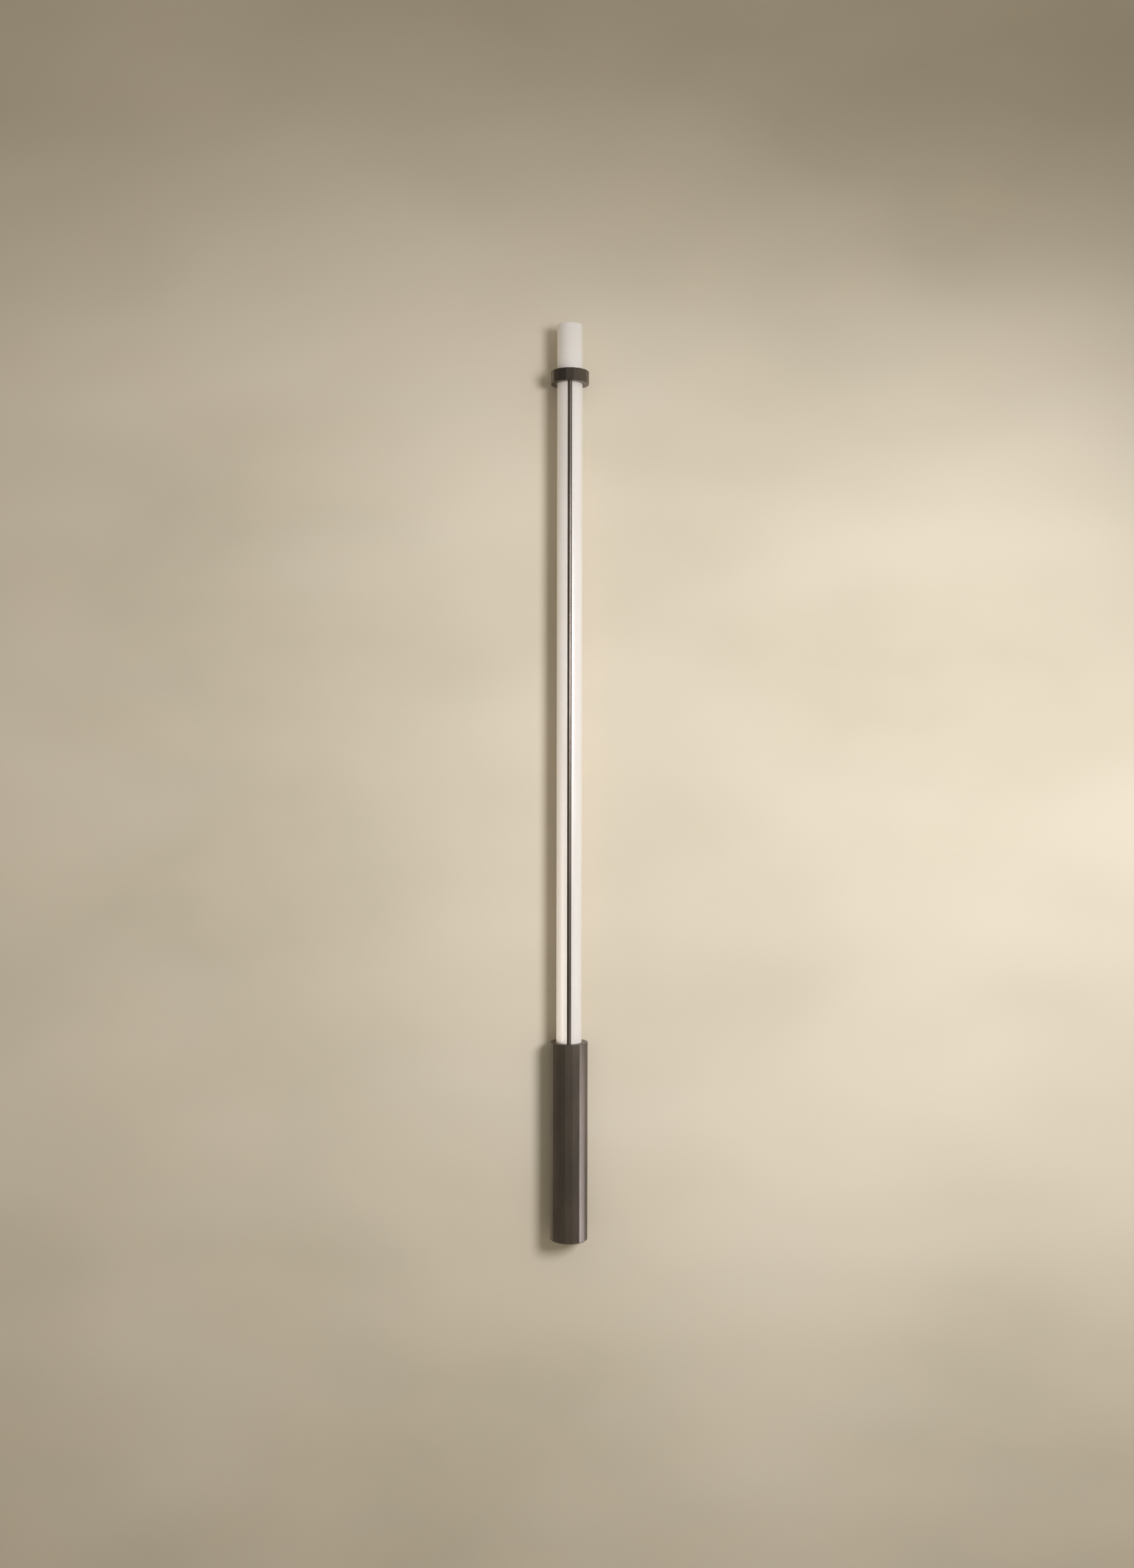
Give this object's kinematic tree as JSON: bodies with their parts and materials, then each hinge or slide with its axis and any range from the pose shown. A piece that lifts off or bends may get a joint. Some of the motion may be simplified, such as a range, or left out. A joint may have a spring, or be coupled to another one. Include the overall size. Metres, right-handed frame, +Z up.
{
  "type": "tube wall light",
  "caption": "Slim upright wall light: a closed opal glass tube stands in a faceted dark bronze handle and runs up through a matching collar tied to it by a thin rod.",
  "frame": {"origin": "centre of the wall bracket's back face, which lies on the wall, level with the middle of the handle", "axes": "+Z up along the tube, +Y into the wall, so the light stands out towards -Y, and +X to the right seen from the room"},
  "size_m": [0.052, 0.055, 1.257],
  "materials": {
    "dark_bronze": "satin dark bronze patina over brass",
    "opal_glass": "satin opal white glass",
    "aluminium": "satin anodised extrusion",
    "zinc_steel": "zinc plated steel",
    "silicone": "translucent white silicone",
    "black_rubber": "matte black rubber",
    "clear_plastic": "clear polycarbonate",
    "white_board": "white solder mask with yellow phosphor chips",
    "driver_shell": "fine textured white polycarbonate",
    "green_board": "green solder mask",
    "connector_plastic": "natural nylon",
    "winding_tape": "yellow polyester tape",
    "capacitor_sleeve": "black shrink sleeve",
    "ferrite": "dark sintered ferrite",
    "terminal_grey": "grey polyamide",
    "terminal_brass": "bright brass",
    "tinned_copper": "tin plated copper",
    "brown_insulation": "brown wire insulation",
    "blue_insulation": "blue wire insulation",
    "earth_insulation": "green and yellow wire insulation",
    "red_insulation": "red wire insulation",
    "black_insulation": "black wire insulation"
  },
  "bodies": {
    "fixture": {"board_connectors": "connector_plastic", "cable_grommet": "black_rubber", "collar_liner": "silicone", "core_spacers": "clear_plastic", "core_top_cap": "aluminium", "driver_board": "green_board", "driver_capacitors": "capacitor_sleeve", "driver_case": "driver_shell", "driver_inductor": "ferrite", "driver_lid": "driver_shell", "driver_screws": "zinc_steel", "driver_transformer": "winding_tape", "driver_tray": "zinc_steel", "earth_lead": "earth_insulation", "earth_screw": "zinc_steel", "earth_tag": "tinned_copper", "end_cap_screw": "dark_bronze", "handle_end_cap": "dark_bronze", "handle_sleeve": "dark_bronze", "hanger_pins": "zinc_steel", "led_profile": "aluminium", "led_strip_front": "white_board", "led_strip_rear": "white_board", "live_lead": "brown_insulation", "negative_leads": "black_insulation", "neutral_lead": "blue_insulation", "positive_leads": "red_insulation", "profile_screws": "zinc_steel", "rod_nut": "dark_bronze", "seat_gasket": "silicone", "seat_screws": "dark_bronze", "terminal_bars": "terminal_brass", "terminal_block": "terminal_grey", "terminal_screw": "zinc_steel", "tie_rod": "dark_bronze", "tray_screws": "zinc_steel", "tube_collar": "dark_bronze", "tube_seal": "silicone", "tube_seat": "aluminium", "upper_wall_stud": "zinc_steel", "wall_bracket": "zinc_steel"},
    "diffuser": {"diffuser_tube": "opal_glass", "diffuser_end_disc": "opal_glass"}
  },
  "joints": [
    {"name": "diffuser_lift", "type": "slide", "parent": "fixture", "child": "diffuser", "axis": [0, 0, 1], "range_m": [0, 1.016]}
  ]
}
